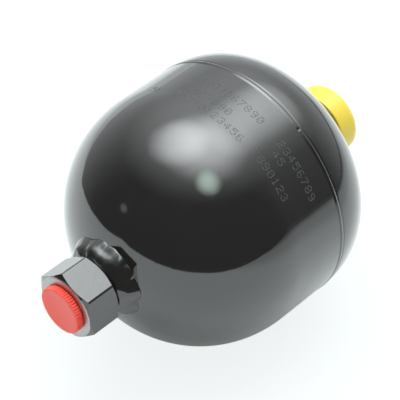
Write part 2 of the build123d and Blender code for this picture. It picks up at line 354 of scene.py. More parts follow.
def port_enamel():
    """The same enamel on the turned and milled port, whose front face was masked and is bare."""
    material, tree, shader, place = new_material("black enamel on bright turned steel")
    parts = add(tree, "ShaderNodeSeparateXYZ", {"Vector": place})
    # peel over 3 mm, and teeth of about 1 mm on the edge of the masking
    peel = add(tree, "ShaderNodeTexNoise", {"Vector": place, "Scale": 350.0, "Detail": 2.0})
    ragged = add(tree, "ShaderNodeTexNoise", {"Vector": place, "Scale": 900.0, "Detail": 3.0})
    # turning marks on the face: rings about 0.25 mm apart
    rings = add(
        tree,
        "ShaderNodeTexWave",
        {"Vector": place, "Scale": 640.0, "Distortion": 0.4, "Detail": 1.0},
        wave_type="RINGS",
        rings_direction="X",
    )
    # the enamel starts a little behind the face, where the masking ended
    edge = add(
        tree,
        "ShaderNodeMath",
        {0: ragged.outputs["Fac"], 1: 0.00035, 2: parts.outputs["X"]},
        operation="MULTIPLY_ADD",
    )
    painted = add(
        tree,
        "ShaderNodeMapRange",
        {
            "Value": edge.outputs["Value"],
            "From Min": (port_low.x + 0.42) * mm,
            "From Max": (port_low.x + 0.50) * mm,
        },
    )
    colour = add(
        tree,
        "ShaderNodeMix",
        {"Factor": painted.outputs["Result"], "A": linear("#b4b3b1"), "B": linear("#1e1d1b")},
        data_type="RGBA",
    )
    metal = add(
        tree,
        "ShaderNodeMapRange",
        {"Value": painted.outputs["Result"], "To Min": 1.0, "To Max": 0.0},
    )
    rough = add(
        tree,
        "ShaderNodeMapRange",
        {"Value": painted.outputs["Result"], "To Min": 0.32, "To Max": 0.07},
    )
    height = add(
        tree,
        "ShaderNodeMix",
        {
            "Factor": painted.outputs["Result"],
            "A": rings.outputs["Fac"],
            "B": peel.outputs["Fac"],
        },
        data_type="FLOAT",
    )
    # the coat lies a little unevenly on the flats, in lumps about 4 mm wide
    flow = add(tree, "ShaderNodeTexNoise", {"Vector": place, "Scale": 240.0, "Detail": 2.0})
    uneven = add(
        tree,
        "ShaderNodeBump",
        {"Height": flow.outputs["Fac"], "Strength": 0.3, "Distance": 0.0002},
    )
    skin = add(
        tree,
        "ShaderNodeBump",
        {
            "Height": height.outputs["Result"],
            "Strength": 0.12,
            "Distance": 0.00005,
            "Normal": uneven.outputs["Normal"],
        },
    )
    tree.links.new(colour.outputs["Result"], shader.inputs["Base Color"])
    tree.links.new(metal.outputs["Result"], shader.inputs["Metallic"])
    tree.links.new(rough.outputs["Result"], shader.inputs["Roughness"])
    tree.links.new(skin.outputs["Normal"], shader.inputs["Normal"])
    tree.links.new(painted.outputs["Result"], shader.inputs["Coat Weight"])
    tree.links.new(skin.outputs["Normal"], shader.inputs["Coat Normal"])
    shader.inputs["IOR"].default_value = enamel_ior
    shader.inputs["Coat IOR"].default_value = enamel_ior
    shader.inputs["Coat Roughness"].default_value = 0.03
    return material


def weld_enamel():
    """Enamel over a hand-laid weld: glossy and thin, so each ripple and pit shows through it."""
    material, tree, shader, place = new_material("black enamel over weld metal")
    # ripples over 1.4 mm, pits about 2.4 mm apart
    ripple = add(tree, "ShaderNodeTexNoise", {"Vector": place, "Scale": 700.0, "Detail": 3.0})
    pits = add(tree, "ShaderNodeTexVoronoi", {"Vector": place, "Scale": 420.0})
    height = add(
        tree,
        "ShaderNodeMath",
        {0: ripple.outputs["Fac"], 1: pits.outputs["Distance"], 2: pits.outputs["Distance"]},
        operation="MULTIPLY_ADD",
    )
    skin = add(
        tree,
        "ShaderNodeBump",
        {"Height": height.outputs["Value"], "Strength": 0.07, "Distance": 0.0002},
    )
    tint = add(
        tree,
        "ShaderNodeMix",
        {"Factor": ripple.outputs["Fac"], "A": linear("#171614"), "B": linear("#201f1d")},
        data_type="RGBA",
    )
    tree.links.new(tint.outputs["Result"], shader.inputs["Base Color"])
    tree.links.new(skin.outputs["Normal"], shader.inputs["Normal"])
    tree.links.new(skin.outputs["Normal"], shader.inputs["Coat Normal"])
    shader.inputs["Roughness"].default_value = 0.12
    shader.inputs["IOR"].default_value = enamel_ior
    shader.inputs["Coat Weight"].default_value = 1.0
    shader.inputs["Coat IOR"].default_value = enamel_ior
    shader.inputs["Coat Roughness"].default_value = 0.05
    return material


def moulded_plastic(name, colour, shade, roughness, glow, depth):
    """Injection-moulded polyethylene or acetal: a waxy half gloss with light that soaks in a
    little, and the fine spark texture that the mould leaves."""
    material, tree, shader, place = new_material(name)
    # flow clouds over 8 mm, spark texture over 0.4 mm
    flow = add(tree, "ShaderNodeTexNoise", {"Vector": place, "Scale": 120.0, "Detail": 2.0})
    spark = add(tree, "ShaderNodeTexNoise", {"Vector": place, "Scale": 2600.0, "Detail": 2.0})
    tint = add(
        tree,
        "ShaderNodeMix",
        {"Factor": flow.outputs["Fac"], "A": linear(colour), "B": linear(shade)},
        data_type="RGBA",
    )
    rough = add(
        tree,
        "ShaderNodeMapRange",
        {
            "Value": flow.outputs["Fac"],
            "To Min": roughness - 0.04,
            "To Max": roughness + 0.06,
        },
    )
    skin = add(
        tree,
        "ShaderNodeBump",
        {"Height": spark.outputs["Fac"], "Strength": 0.15, "Distance": 0.00003},
    )
    tree.links.new(tint.outputs["Result"], shader.inputs["Base Color"])
    tree.links.new(rough.outputs["Result"], shader.inputs["Roughness"])
    tree.links.new(skin.outputs["Normal"], shader.inputs["Normal"])
    shader.inputs["Subsurface Weight"].default_value = glow
    shader.inputs["Subsurface Radius"].default_value = (1.0, 0.6, 0.35)
    shader.inputs["Subsurface Scale"].default_value = depth * mm
    return material


def turned_steel(name, colour, roughness, tool_pitch):
    """Turned steel: a grey metal with the fine rings that the tool's feed leaves."""
    material, tree, shader, place = new_material(name)
    rings = add(
        tree,
        "ShaderNodeTexWave",
        {"Vector": place, "Scale": 0.16 / (tool_pitch * mm), "Distortion": 0.6, "Detail": 1.0},
        wave_type="BANDS",
        bands_direction="X",
    )
    # handling stains over 11 mm
    stain = add(tree, "ShaderNodeTexNoise", {"Vector": place, "Scale": 90.0, "Detail": 4.0})
    tint = add(
        tree,
        "ShaderNodeMix",
        {"Factor": stain.outputs["Fac"], "A": linear(colour), "B": linear("#8c8a86")},
        data_type="RGBA",
    )
    rough = add(
        tree,
        "ShaderNodeMapRange",
        {
            "Value": stain.outputs["Fac"],
            "To Min": roughness - 0.06,
            "To Max": roughness + 0.08,
        },
    )
    skin = add(
        tree,
        "ShaderNodeBump",
        {"Height": rings.outputs["Fac"], "Strength": 0.2, "Distance": 0.00003},
    )
    tree.links.new(tint.outputs["Result"], shader.inputs["Base Color"])
    tree.links.new(rough.outputs["Result"], shader.inputs["Roughness"])
    tree.links.new(skin.outputs["Normal"], shader.inputs["Normal"])
    shader.inputs["Metallic"].default_value = 1.0
    return material


def nitrile_rubber():
    """Moulded nitrile rubber: dull black with a dusting of talc from the mould."""
    material, tree, shader, place = new_material("moulded nitrile rubber")
    # talc in patches of 4.5 mm, grain of 0.7 mm
    talc = add(tree, "ShaderNodeTexNoise", {"Vector": place, "Scale": 220.0, "Detail": 6.0})
    grain = add(tree, "ShaderNodeTexNoise", {"Vector": place, "Scale": 1500.0, "Detail": 2.0})
    tint = add(
        tree,
        "ShaderNodeMix",
        {"Factor": talc.outputs["Fac"], "A": linear("#191918"), "B": linear("#2c2b29")},
        data_type="RGBA",
    )
    skin = add(
        tree,
        "ShaderNodeBump",
        {"Height": grain.outputs["Fac"], "Strength": 0.3, "Distance": 0.00005},
    )
    tree.links.new(tint.outputs["Result"], shader.inputs["Base Color"])
    tree.links.new(skin.outputs["Normal"], shader.inputs["Normal"])
    shader.inputs["Roughness"].default_value = 0.7
    return material


shell_enamel = stove_enamel_black()
mark_enamel = grey_mark_enamel()
port_finish = port_enamel()
weld_finish = weld_enamel()
red_polyethylene = moulded_plastic("red polyethylene", "#ff6353", "#fd5a4a", 0.36, 0.2, 0.4)
yellow_polyethylene = moulded_plastic("yellow polyethylene", "#fde25e", "#fadb52", 0.3, 0.35, 1.5)
acetal = moulded_plastic("natural acetal", "#cfcabc", "#c4bfb0", 0.5, 0.1, 1.0)
zinc_plate = turned_steel("zinc plated steel", "#c9c8c2", 0.3, 0.2)
bright_steel = turned_steel("bright turned steel", "#b5b4b0", 0.34, 0.25)
rubber = nitrile_rubber()


# ------------------------------------------------------------ the two drawn shells
def dished_head(rim_x, side, knuckle_r, crown_r, inset, hole_r, knuckle_count, crown_count):
    """A head's section from its rim to its hole. side is -1 for the fluid end, 1 for the gas end."""
    crown_angle = degrees(asin((vessel_r - knuckle_r) / (crown_r - knuckle_r)))
    knuckle_angle = 90 - crown_angle
    crown_x = rim_x - side * sqrt((crown_r - knuckle_r) ** 2 - (vessel_r - knuckle_r) ** 2)
    hole_angle = degrees(asin(hole_r / (crown_r - inset)))
    points = []
    for i in range(1, knuckle_count + 1):
        a = radians(knuckle_angle * i / knuckle_count)
        reach = knuckle_r - inset
        points.append((rim_x + side * reach * sin(a), vessel_r - knuckle_r + reach * cos(a)))
    for i in range(1, crown_count + 1):
        a = radians(crown_angle + (hole_angle - crown_angle) * i / crown_count)
        reach = crown_r - inset
        points.append((crown_x + side * reach * cos(a), reach * sin(a)))
    return points


def fluid_shell():
    """The deep shell: the straight band, and the head that the fluid port goes through."""
    rim_x = seam_x - seam_half
    outside = [(rim_x, vessel_r)] + run((rim_x, vessel_r), (band_x, vessel_r), 14)
    outside += dished_head(band_x, -1, fluid_knuckle_r, fluid_crown_r, 0, port_hole_r, 60, 30)
    inner_r = vessel_r - wall
    inside = [(rim_x, inner_r), (band_x, inner_r)]
    inside += dished_head(band_x, -1, fluid_knuckle_r, fluid_crown_r, wall, port_hole_r, 30, 10)
    piece = turned("fluid_shell_skin", outside + inside[::-1], body_steps)
    return finish_piece(piece, shell_enamel, "vessel", "black_paint", "fluid_shell")


def gas_shell():
    """The shallow shell, whose head starts right at the girth weld."""
    rim_x = seam_x + seam_half
    # the drawn edge is a little rounded where the weld's toe ends, so a fine groove stays beside it
    outside = [(rim_x, vessel_r - 0.22), (rim_x + 0.12, vessel_r - 0.2)]
    outside += [(rim_x + 0.3, vessel_r - 0.1), (rim_x + 0.5, vessel_r - 0.02)]
    head = dished_head(rim_x, 1, gas_knuckle_r, gas_crown_r, 0, gas_hole_r, 60, 30)
    outside += [point for point in head if point[0] > rim_x + 0.6]
    inner_r = vessel_r - wall
    inside = [(rim_x, inner_r)]
    inside += dished_head(rim_x, 1, gas_knuckle_r, gas_crown_r, wall, gas_hole_r, 24, 12)
    piece = turned("gas_shell_skin", outside + inside[::-1], body_steps)
    return finish_piece(piece, shell_enamel, "vessel", "black_paint", "gas_shell")


# ------------------------------------------------------------ the girth weld
def girth_weld():
    """A narrow machine-laid bead with fine ripples, and one stop where the torch came round. It has
    a long low flank on the fluid side, which catches the light from above, and a short steep one."""
    inner_r = vessel_r - wall
    low_x, high_x = seam_x - seam_half, seam_x + seam_half
    long_flank, short_flank, steps = 1.15, 0.8, 11
    crown = []
    for i in range(-steps, steps + 1):
        across = i / steps * seam_half * 1.05
        if across < 0:
            swell = 1 - (-across / long_flank) ** 1.15
        else:
            swell = 1 - (across / short_flank) ** 2
        crown.append((seam_x + across, vessel_r - 0.02 + seam_proud * max(0, swell)))
    section = [(seam_x - 0.6, inner_r), (low_x, vessel_r - 0.6)] + crown
    section += [(high_x, vessel_r - 0.6), (seam_x + 0.6, inner_r)]
    piece = turned("girth_weld_bead", section, 900)
    stop = radians(34.0)
    ripple_length = 1.1

    def lay(x, radius, angle):
        on_top = np.clip((radius - vessel_r + 0.05) / 0.25, 0, 1)
        around = angle * vessel_r
        ripple = np.sin(around * 2 * pi / ripple_length + 3 * np.sin(around / 9.0))
        ring = np.stack([20 * np.sin(angle), 20 * np.cos(angle), 0 * angle], axis=1)
        wander = lumps(ring, 3.1)
        radius = radius - on_top * (0.03 + 0.012 * ripple + 0.03 * wander)
        x = x + on_top * 0.1 * wander
        # the stop: a small crater, then the first puddle of the start beside it
        beyond = (angle - stop) * vessel_r
        radius = radius - on_top * 0.22 * np.exp(-((beyond + 0.9) ** 2) / 0.35)
        x = x + on_top * 0.25 * np.exp(-((beyond - 0.8) ** 2) / 1.2)
        return x, np.minimum(radius, vessel_r + seam_proud - 0.005), angle

    reshape(piece, lay)
    return finish_piece(piece, weld_finish, "vessel", "black_paint", "girth_weld")


# ------------------------------------------------------------ the fluid port
def hexagon_blank():
    """The hexagon before its bore: six milled flats, with both ends turned to 30 degrees."""
    corner_r = hex_flats / sqrt(3)
    run_out = (corner_r + 1 - hex_face_r) * tan(radians(30))
    piece = turned(
        "fluid_port_body",
        [
            (0, 0),
            (0, hex_face_r),
            (run_out, corner_r + 1),
            (hex_length - run_out, corner_r + 1),
            (hex_length, hex_face_r),
            (hex_length, 0),
        ],
        144,
    )
    clear_selection()
    bpy.ops.mesh.primitive_cylinder_add(
        vertices=6, radius=corner_r * mm, depth=(hex_length + 4) * mm, location=(0, 0, 0)
    )
    flats = bpy.context.active_object
    # one corner has to lie hex_turn round from +Y once the blank is turned to X
    corner = flats.data.vertices[0].co
    first_corner = degrees(atan2(-corner.x, corner.y))
    pick(flats)
    rounding = flats.modifiers.new("Corners of drawn bar", "BEVEL")
    rounding.width = 0.85 * mm
    rounding.segments = 6
    rounding.limit_method = "ANGLE"
    rounding.angle_limit = radians(50)
    bpy.ops.object.modifier_apply(modifier=rounding.name)
    flats.data.transform(Matrix.Rotation(pi / 2, 4, "Y"))
    flats.data.transform(Matrix.Translation((hex_length / 2 * mm, 0, 0)))
    flats.data.transform(Matrix.Rotation(radians(hex_turn - first_corner), 4, "X"))
    cut(piece, flats, "INTERSECT")
    soften_edges(piece, 0.3)
    return piece


def fluid_port():
    """The hexagon with its tapped bore, and the neck behind it that goes through the shell."""
    piece = hexagon_blank()
    mouth_x, mouth_r, beyond_x = 1.05, 9.3, hex_length + 1
    section = [(-1.0, 0), (-1.0, mouth_r), (0.0, mouth_r), (mouth_x, thread_bore_r)]
    section += run((mouth_x, thread_bore_r), (thread_depth, thread_bore_r), 108)
    section += [(thread_depth + 2.55, passage_r), (beyond_x, passage_r), (beyond_x, 0)]
    bore = turned("bore_tool", section, 96)

    def tap(x, radius, angle):
        depth = thread_root_r - thread_bore_r
        groove = screw_thread(x, angle, thread_pitch, 0.6, thread_depth - 0.5, depth)
        on_bore = (np.abs(radius - thread_bore_r) < 0.05) & (x > 1.0)
        return x, np.where(on_bore, radius + groove, radius), angle

    reshape(bore, tap)
    cut(piece, bore)
    # the neck and the spigot that goes through the shell, with the passage through them
    shoulder_x = shell_low.x
    start_x, spigot_r = hex_length - 0.4, 12.0
    section = [(start_x, passage_r), (start_x, neck_r - 0.6), (hex_length, neck_r)]
    section += run((hex_length, neck_r), (shoulder_x, neck_r), 4)
    section += [(shoulder_x, spigot_r), (port_high.x, spigot_r), (port_high.x, passage_r)]
    neck = turned("fluid_port_neck", section, 128)
    pick(piece)
    neck.select_set(True)
    bpy.ops.object.join()
    return finish_piece(piece, port_finish, "vessel", "black_paint", "fluid_port")


# ------------------------------------------------------------ the port weld
def port_weld():
    """A fillet laid by hand in a few heavy passes: smooth swellings, and a ragged toe on the shell."""
    shoulder_x = shell_low.x
    outer_r = corners("port_weld")[1].z
    toe_r = 20.0
    neck_toe = (shoulder_x - 4.0, neck_r - 0.05)
    shell_toe = (fluid_pole_x + drop(fluid_crown_r, toe_r), toe_r)
    leg = toe_r - neck_toe[1]
    section = [(shoulder_x, port_hole_r), (shoulder_x, neck_r - 0.4), neck_toe]
    section += run(neck_toe, shell_toe, 48)
    section += [(fluid_pole_x + drop(fluid_crown_r, 16.0) + 0.9, 16.0)]
    piece = turned("port_weld_bead", section, 480)

    def lay(x, radius, angle):
        t = (radius - neck_toe[1]) / leg
        chord_x = neck_toe[0] + (shell_toe[0] - neck_toe[0]) * t
        on_face = (np.abs(x - chord_x) < 0.02) & (t > -0.001)
        t = np.clip(t, 0, 1)
        rim = rim_places(17, angle)
        # the toe on the shell wanders by steps, the one on the neck only a little
        reach = 19.5 + 1.3 * lumps(rim, 6.0, 4.0)
        ragged = 1.2 * np.abs(lumps(rim, 4.4, 9.0)) + 0.08 * lumps(rim, 1.6, 5.0) - 0.2
        rise = shoulder_x - hex_length - 0.3 - 0.15 * (1 + lumps(rim, 6.0, 12.0))
        # out along the face: a heavy crown, with a second hump over parts of the way round
        new_radius = neck_toe[1] + (reach - neck_toe[1]) * t + ragged * t**4
        new_radius = np.minimum(new_radius, outer_r - 0.03)
        sunk = fluid_pole_x + fluid_crown_r - np.sqrt(fluid_crown_r**2 - new_radius**2) + 0.1
        start_x = shoulder_x - rise
        new_x = start_x + (sunk - start_x) * t
        nx, nr = -(reach - neck_toe[1]), rise + 2.0
        length = np.hypot(nx, nr)
        places = np.stack([rim[:, 0], rim[:, 1], 9 * t], axis=1)
        rough = lumps(places, 6.5, 1.0) + 0.12 * lumps(places, 2.6, 6.0)
        crown = np.sin(pi * t) ** 0.45
        first = np.exp(-(((t - 0.18) / 0.13) ** 2)) * (0.04 + 0.4 * lumps(rim, 4.2, 21.0))
        second = np.exp(-(((t - 0.48) / 0.28) ** 2)) * (0.4 + 0.45 * lumps(rim, 4.6, 3.0))
        lift = crown * (0.6 + 0.5 * rough) + first * np.clip(t / 0.05, 0, 1) + second
        new_x = np.where(on_face, new_x + nx / length * lift, x)
        new_radius = np.where(on_face, new_radius + nr / length * lift, radius)
        return new_x, new_radius, angle

    reshape(piece, lay)
    return finish_piece(piece, weld_finish, "vessel", "black_paint", "port_weld")


# ------------------------------------------------------------ the red transport plug
def port_plug():
    """A screw-in plug with 56 fine grip ribs round its head and a shallow dished face."""
    front, back = plug_low.x, -0.12
    head_r, rib_count, rib_depth, shank_r = 10.6, 56, 0.74, thread_bore_r - 0.12
    section = [(front + 0.14, 0), (front + 0.14, 8.5), (front + 0.05, 8.85), (front, 9.1)]
    section += [(front, 10.0)]
    section += arc(front + 0.5, head_r - 0.5, 0.5, 180, 90, 7)[1:]
    section += run((front + 0.5, head_r), (back - 0.12, head_r), 14)
    section += [(back, head_r - 0.12), (back, shank_r + 0.3), (back + 0.15, shank_r)]
    section += run((back + 0.15, shank_r), (plug_high.x - 0.8, shank_r), 84)
    section += [(plug_high.x, shank_r - 0.8), (plug_high.x, shank_r - 1.6)]
    section += [(back + 1.6, shank_r - 1.6), (back + 1.6, 0)]
    piece = turned("port_plug_moulding", section, 8 * rib_count)

    def rib(x, radius, angle):
        grip = np.abs(np.cos(rib_count / 2 * angle))
        length = np.clip((x - front + 0.05) / 0.3, 0, 1) * np.clip((back + 0.02 - x) / 0.14, 0, 1)
        on_side = np.clip((radius - head_r + 0.45) / 0.3, 0, 1)
        radius = radius + rib_depth * grip * length * on_side
        on_shank = (np.abs(radius - shank_r) < 0.03) & (x > back + 0.1)
        thread = screw_thread(x, angle, thread_pitch, back + 0.4, plug_high.x - 0.6, 0.65)
        return x, np.where(on_shank, radius - thread, radius), angle

    reshape(piece, rib)
    return finish_piece(piece, red_polyethylene, "plug", "red_plastic", "port_plug")


# ------------------------------------------------------------ the yellow cap
def valve_cap():
    """A push-on cap with a well-rounded end, and a small sunk ring where it was gated."""
    mouth, end, outer_r, bore_r = cap_low.x, cap_high.x, cap_high.z, 14.3
    section = [(mouth + 1.6, bore_r), (mouth, bore_r + 1.6), (mouth, outer_r - 0.35)]
    section += [(mouth + 0.1, outer_r - 0.1), (mouth + 0.35, outer_r)]
    section += run((mouth + 0.35, outer_r), (end - 3.4, outer_r), 8)
    section += arc(end - 3.4, outer_r - 3.4, 3.4, 90, 0, 14)[1:]
    section += [(end, 4.2), (end - 0.12, 4.0), (end - 0.12, 1.3), (end - 0.02, 1.1), (end - 0.02, 0)]
    section += [(end - 2.2, 0), (end - 2.2, bore_r)]
    piece = turned("valve_cap_moulding", section, 160)
    return finish_piece(piece, yellow_polyethylene, "cap", "yellow_plastic", "valve_cap")


# ------------------------------------------------------------ the gas connection
def gas_boss():
    """The threaded gas connection, M28x1.5, with a well for the charging screw."""
    shoulder_x, end = gas_high.x, boss_high.x
    collar_x = shoulder_x + 3.4
    crest_r, root_r, collar_r, spigot_r = 14.0, 13.1, 15.0, 9.0
    well_r, tapped_r, hole_r = 9.0, 5.06, 2.5
    well_x = end - 8.5
    tapped_x = well_x - 8.0
    section = [(boss_low.x, hole_r), (boss_low.x, spigot_r), (shoulder_x, spigot_r)]
    section += [(shoulder_x, collar_r), (collar_x - 0.3, collar_r), (collar_x, collar_r - 0.3)]
    section += [(collar_x, crest_r)]
    section += run((collar_x, crest_r), (end - 1.0, crest_r), 100)
    section += [(end, crest_r - 1.0), (end, well_r + 0.4), (end - 0.4, well_r), (well_x, well_r)]
    section += [(well_x, tapped_r), (tapped_x, tapped_r), (tapped_x, hole_r)]
    piece = turned("gas_boss_body", section, 160)

    def thread(x, radius, angle):
        groove = screw_thread(x, angle, thread_pitch, collar_x + 0.3, end + 0.4, crest_r - root_r)
        on_thread = (np.abs(radius - crest_r) < 0.02) & (x > collar_x + 0.05)
        return x, np.where(on_thread, radius - groove, radius), angle

    reshape(piece, thread)
    return finish_piece(piece, zinc_plate, "vessel", "plated_steel", "gas_boss")


def gas_boss_weld():
    """The fillet round the gas connection, laid by machine in fine even ripples."""
    shoulder_x = gas_high.x
    high = corners("gas_boss_weld")[1]
    toe_r = high.z
    collar_toe = (high.x, 14.95)
    shell_toe = (gas_pole_x - drop(gas_crown_r, toe_r) - 0.12, toe_r)
    section = [(shoulder_x, gas_hole_r), (shoulder_x, 14.6), collar_toe]
    section += run(collar_toe, shell_toe, 24)
    section += [(gas_pole_x - drop(gas_crown_r, 13.0) - 0.5, 13.0)]
    piece = turned("gas_boss_weld_bead", section, 400)

    def lay(x, radius, angle):
        t = np.clip((radius - collar_toe[1]) / (toe_r - collar_toe[1]), 0, 1)
        rim = rim_places(17, angle)
        # the ripples trail behind the torch as shallow crescents, about 2 mm apart
        ripple = np.sin(54 * angle + 2 * lumps(rim, 6.0, 7.0) + 5 * (t - 0.5) ** 2)
        lift = np.sin(pi * t) ** 0.6 * (0.5 + 0.045 * ripple + 0.22 * lumps(rim, 5.0, 3.0))
        return x + 0.7 * lift, radius + 0.7 * lift + 0.5 * t**4 * lumps(rim, 4.0, 9.0), angle

    reshape(piece, lay)
    return finish_piece(piece, weld_finish, "vessel", "black_paint", "gas_boss_weld")


def charging_screw():
    """The M10 screw that closes the gas hole, with a round head and a hexagon socket."""
    shank_r, head_r, socket_flats, socket_depth = 5.0, 8.0, 6, 4.0
    low, high = corners("charging_screw")
    head_x = high.x - 6.0
    section = [(low.x, 0), (low.x, 4.4), (low.x + 0.6, shank_r)]
    section += run((low.x + 0.6, shank_r), (head_x, shank_r), 50)
    section += [(head_x, head_r), (high.x - 0.6, head_r), (high.x - 0.2, 7.85), (high.x, 7.4)]
    section += [(high.x, 4.0), (high.x, 0)]
    piece = turned("charging_screw_body", section, 120)

    def thread(x, radius, angle):
        groove = screw_thread(x, angle, thread_pitch, low.x + 0.5, head_x - 0.3, 0.85)
        on_thread = (np.abs(radius - shank_r) < 0.02) & (x > low.x + 0.65)
        return x, np.where(on_thread, radius - groove, radius), angle

    reshape(piece, thread)
    clear_selection()
    bpy.ops.mesh.primitive_cylinder_add(
        vertices=6, radius=socket_flats / sqrt(3) * mm, depth=2 * socket_depth * mm
    )
    socket = bpy.context.active_object
    socket.data.transform(Matrix.Rotation(pi / 2, 4, "Y"))
    socket.data.transform(Matrix.Translation((high.x * mm, 0, 0)))
    cut(piece, socket)
    bpy.ops.object.shade_smooth_by_angle(angle=crease)
    return finish_piece(piece, bright_steel, "gas_screw", "plain_steel", "charging_screw")


# ------------------------------------------------------------ inside the vessel
def bladder():
    """The moulded cup, with its clamping bead at the rim and a thick pad on its crown."""
    high = corners("bladder")[1]
    outer, inner = 5.3, 7.3  # how far its two faces lie inside the vessel's outer surface
    outside = [(high.x - 6.0, vessel_r - outer), (band_x, vessel_r - outer)]
    outside += dished_head(band_x, -1, fluid_knuckle_r, fluid_crown_r, outer, 9.4, 40, 16)
    inside = [(high.x - 6.0, vessel_r - inner), (band_x, vessel_r - inner)]
    inside += dished_head(band_x, -1, fluid_knuckle_r, fluid_crown_r, inner, 13.0, 40, 16)
    pad_x = fluid_pole_x + outer + 7.0
    pad = [(pad_x - 1.2, 13.0), (pad_x - 0.35, 12.6), (pad_x, 11.7), (pad_x, 0)]
    pocket = [
        (pad_x - 1.6, 0), (pad_x - 1.6, 5.8), (pad_x - 3.4, 5.8), (pad_x - 3.4, 3.5),
        (pad_x - 4.5, 3.5), (pad_x - 4.5, 9.4),
    ]
    bead = [(high.x - 8.6, vessel_r - 5.4)] + arc(high.x - 1.1, vessel_r - 6.5, 1.1, 90, 0, 5)
    bead += arc(high.x - 1.1, vessel_r - 8.9, 1.1, 0, -90, 5) + [(high.x - 8.6, vessel_r - 9.9)]
    section = outside[1:][::-1] + bead + inside[1:] + pad + pocket
    piece = turned("bladder_moulding", section, 128)
    finish_piece(piece, rubber, "vessel", "rubber", "bladder")
    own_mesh(piece)
    return piece


def inner_pieces():
    """The parts that the shells close in keep their CAD shape."""
    for node, material in (
        ("retaining_ring", bright_steel),
        ("closing_button", acetal),
        ("charging_screw_seal", rubber),
    ):
        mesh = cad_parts[node].data
        mesh.materials.clear()
        mesh.materials.append(material)


# ------------------------------------------------------------ the marking place
# Plain numerals on a five by seven grid of dots, as a dot marker peens them.
NUMERALS = {
    "0": "01110 10001 10011 10101 11001 10001 01110",
    "1": "00100 01100 00100 00100 00100 00100 01110",
    "2": "01110 10001 00001 00110 01000 10000 11111",
    "3": "01110 10001 00001 00110 00001 10001 01110",
    "4": "00010 00110 01010 10010 11111 00010 00010",
    "5": "11111 10000 11110 00001 00001 10001 01110",
    "6": "01110 10000 10000 11110 10001 10001 01110",
    "7": "11111 00001 00010 00100 00100 01000 01000",
    "8": "01110 10001 10001 01110 10001 10001 01110",
    "9": "01110 10001 10001 01111 00001 00001 01110",
}


def peened_numerals():
    """Rows of plain numerals in counting order, where such a vessel is marked. Each dot is a low
    round swelling of steel under the enamel."""
    dot_pitch, dot_r, dot_height = 0.56, 0.25, 0.12
    advance = degrees(3.75 / vessel_r)  # from one numeral to the next
    clear_selection()
    bpy.ops.mesh.primitive_uv_sphere_add(segments=8, ring_count=5, radius=dot_r * mm)
    dot = bpy.context.active_object
    bpy.ops.object.mode_set(mode="EDIT")
    bpy.ops.mesh.select_all(action="SELECT")
    bpy.ops.transform.resize(value=(1, 1, dot_height / dot_r))
    bpy.ops.object.mode_set(mode="OBJECT")
    bpy.ops.object.shade_smooth()
    rows = [
        # place along the axis, first angle, last angle, first numeral
        (96.9, -12.0, 21.5, 1),
        (96.9, 33.0, 60.0, 2),
        (89.0, -16.0, 11.0, 3),
        (91.5, 35.0, 41.0, 4),
        (82.9, -28.5, -22.5, 5),
        (82.9, -14.5, 22.0, 6),
        (83.8, 29.5, 54.0, 7),
    ]
    copies = []
    for x, first, last, numeral in rows:
        angle = first
        while angle < last:
            for line, marks in enumerate(NUMERALS[str(numeral % 10)].split()):
                for column, mark in enumerate(marks):
                    if mark == "0":
                        continue
                    wobble = noise.noise(Vector((x + line, angle, column * 1.7)))
                    along = x + (3 - line) * dot_pitch + 0.05 * wobble
                    turn = radians(angle) + (column * dot_pitch + 0.05 * wobble) / vessel_r
                    size = 1 + 0.25 * wobble
                    copy = dot.copy()
                    copy.data = dot.data.copy()
                    copy.data.transform(
                        Matrix.Rotation(turn, 4, "X")
                        @ Matrix.Translation((along * mm, 0, (vessel_r - 0.01) * mm))
                        @ Matrix.Diagonal((1, 1, size, 1))
                    )
                    bpy.context.scene.collection.objects.link(copy)
                    copies.append(copy)
            angle += advance
            numeral += 1
    bpy.data.objects.remove(dot)
    clear_selection()
    for copy in copies:
        copy.select_set(True)
    piece = copies[0]
    bpy.context.view_layer.objects.active = piece
    bpy.ops.object.join()
    piece.name = "peened_numerals"
    return finish_piece(piece, mark_enamel, "vessel", "black_paint")


# ------------------------------------------------------------ table, light and camera
heading = radians(46.47)  # the camera looks this far round from +Y, towards +X
fall = radians(43.04)  # and down by this much
ahead = Vector((sin(heading), cos(heading), 0))
rightward = Vector((cos(heading), -sin(heading), 0))
forward = ahead * cos(fall) - Vector((0, 0, sin(fall)))
upward = ahead * sin(fall) + Vector((0, 0, cos(fall)))


def camera():
    """A long lens that looks down on the vessel from beside its fluid end."""
    # the seam's centre lies this far to the right of the lens, above it and ahead of it
    aside, above, distance = 18.21, 8.74, 796.2
    data = bpy.data.cameras.new("camera")
    data.lens = 157.4
    data.sensor_width = 36
    data.clip_start, data.clip_end = 0.05, 50
    eye = bpy.data.objects.new("camera", data)
    bpy.context.scene.collection.objects.link(eye)
    aim = Vector((seam_x, 0, 0))
    eye.location = (aim - rightward * aside - upward * above - forward * distance) * mm
    eye.rotation_euler = Matrix((rightward, upward, -forward)).transposed().to_euler()
    bpy.context.scene.camera = eye


def towards(across, height):
    """A direction at this many degrees round from the camera's heading, rightwards, and this high."""
    a, e = radians(across), radians(height)
    return (ahead * cos(a) + rightward * sin(a)) * cos(e) + Vector((0, 0, sin(e)))


def seen_directly(tree, path):
    """1 where the eye sees a stage material straight or through glass, by its light path node."""
    direct = add(
        tree,
        "ShaderNodeMath",
        {0: path.outputs["Is Camera Ray"], 1: path.outputs["Is Transmission Ray"]},
        operation="ADD",
    )
    return direct.outputs["Value"]


